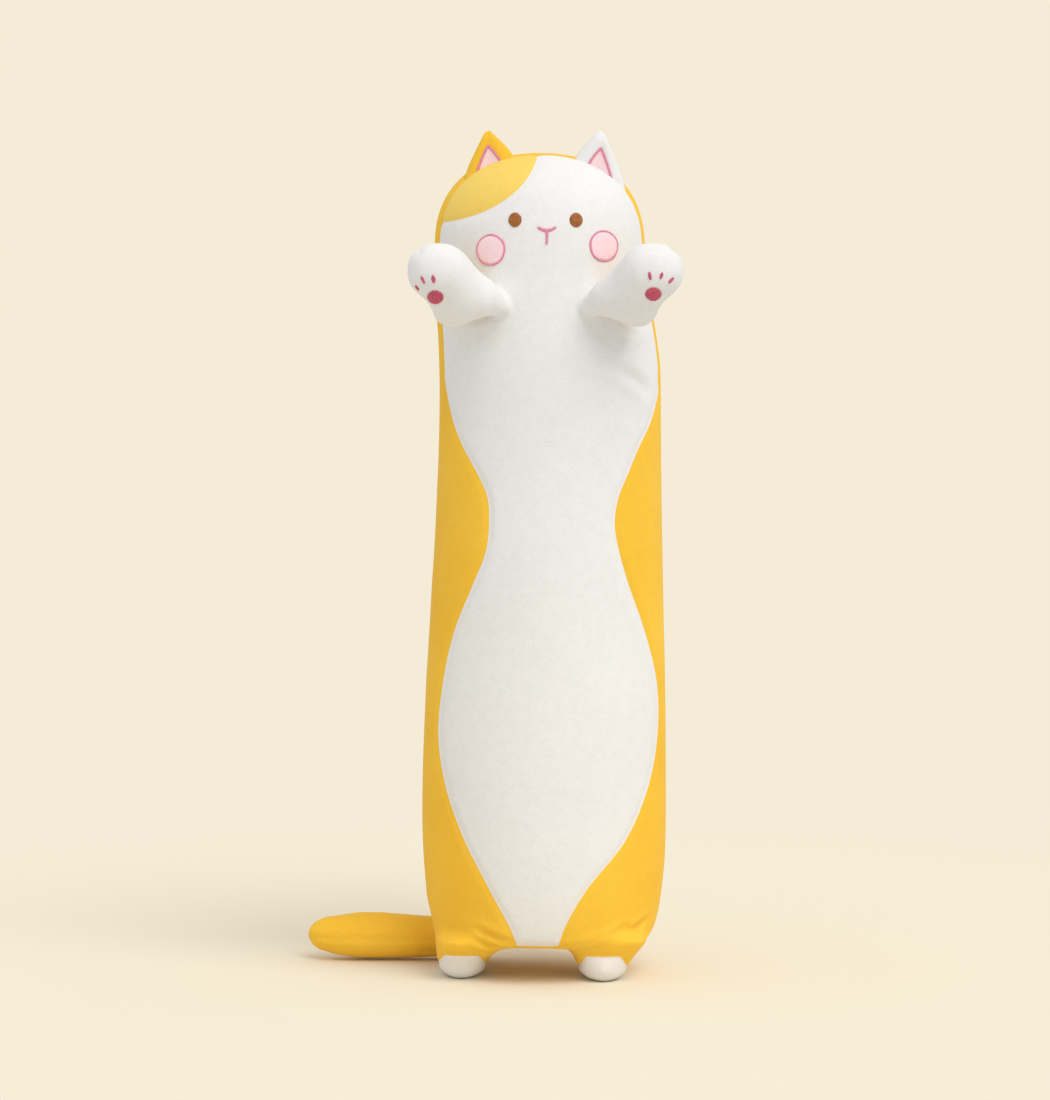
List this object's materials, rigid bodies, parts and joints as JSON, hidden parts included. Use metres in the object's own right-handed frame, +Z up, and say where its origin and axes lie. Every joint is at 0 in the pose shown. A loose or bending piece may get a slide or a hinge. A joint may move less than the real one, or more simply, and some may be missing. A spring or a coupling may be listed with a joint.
{
  "type": "plush cat",
  "caption": "Tall upright plush cat pillow with raised arms, two short feet, triangular ears, a cheek-blushed face and a soft tail lying to one side.",
  "frame": {"origin": "on the floor, under the middle of the toy's length and depth, with its arms and tail counted", "axes": "+Z up to the ears, -Y the way the face looks, +X to the right of someone facing the cat"},
  "size_m": [0.3122, 0.2176, 0.6968],
  "materials": {
    "white_plush": "short smooth white plush",
    "yellow_plush": "short smooth warm yellow plush",
    "patch_plush": "short smooth warm yellow plush, lighter patch",
    "stuffing": "loose white polyester fibre",
    "brown_thread": "satin-stitched brown thread",
    "pink_thread": "satin-stitched pink thread",
    "pale_pink_plush": "pale pink short plush",
    "crimson_thread": "satin-stitched crimson thread",
    "yellow_thread": "yellow sewing thread"
  },
  "bodies": {
    "torso": {"front_panel": "white_plush", "back_panel": "yellow_plush", "head_patch": "patch_plush", "body_stuffing": "stuffing", "closing_stitches": "yellow_thread", "eye_left": "brown_thread", "eye_right": "brown_thread", "nose_mouth": "pink_thread", "cheek_left": "pale_pink_plush", "cheek_right": "pale_pink_plush", "cheek_left_outline": "pink_thread", "cheek_right_outline": "pink_thread", "leg_left_sleeve": "yellow_plush", "leg_left_stuffing": "stuffing", "foot_left_cap": "white_plush", "leg_right_sleeve": "yellow_plush", "leg_right_stuffing": "stuffing", "foot_right_cap": "white_plush"},
    "arm_left": {"arm_left_palm_side": "white_plush", "arm_left_back_side": "yellow_plush", "arm_left_stuffing": "stuffing", "arm_left_pad": "crimson_thread", "arm_left_toes": "crimson_thread"},
    "arm_right": {"arm_right_palm_side": "white_plush", "arm_right_back_side": "yellow_plush", "arm_right_stuffing": "stuffing", "arm_right_pad": "crimson_thread", "arm_right_toes": "crimson_thread"},
    "ear_left": {"ear_left_front": "yellow_plush", "ear_left_back": "yellow_plush", "ear_left_inner": "pale_pink_plush", "ear_left_outline": "pink_thread", "ear_left_stuffing": "stuffing"},
    "ear_right": {"ear_right_front": "white_plush", "ear_right_back": "yellow_plush", "ear_right_inner": "pale_pink_plush", "ear_right_outline": "pink_thread", "ear_right_stuffing": "stuffing"},
    "tail": {"tail_upper": "yellow_plush", "tail_lower": "yellow_plush", "tail_stuffing": "stuffing"}
  },
  "joints": [
    {"name": "arm_left_swing", "type": "hinge", "parent": "torso", "child": "arm_left", "pos_m": [-0.00594, -0.05554, 0.549], "axis": [0, -1, 0], "range_deg": [-20, 55], "stiffness_Nm_per_rad": 0.12},
    {"name": "arm_right_swing", "type": "hinge", "parent": "torso", "child": "arm_right", "pos_m": [0.10284, -0.05554, 0.549], "axis": [0, 1, 0], "range_deg": [-20, 55], "stiffness_Nm_per_rad": 0.12},
    {"name": "ear_left_fold", "type": "hinge", "parent": "torso", "child": "ear_left", "pos_m": [0.00331, 0.00214, 0.67397], "axis": [0.9249, 0, 0.3801], "range_deg": [-20, 20], "stiffness_Nm_per_rad": 0.02},
    {"name": "ear_right_fold", "type": "hinge", "parent": "torso", "child": "ear_right", "pos_m": [0.09331, 0.00214, 0.66919], "axis": [0.8693, 0, -0.4942], "range_deg": [-20, 20], "stiffness_Nm_per_rad": 0.02},
    {"name": "tail_swing", "type": "hinge", "parent": "torso", "child": "tail", "pos_m": [-0.01522, 0.08139, 0.02], "axis": [0, 0, -1], "range_deg": [-8, 60], "stiffness_Nm_per_rad": 0.12}
  ]
}
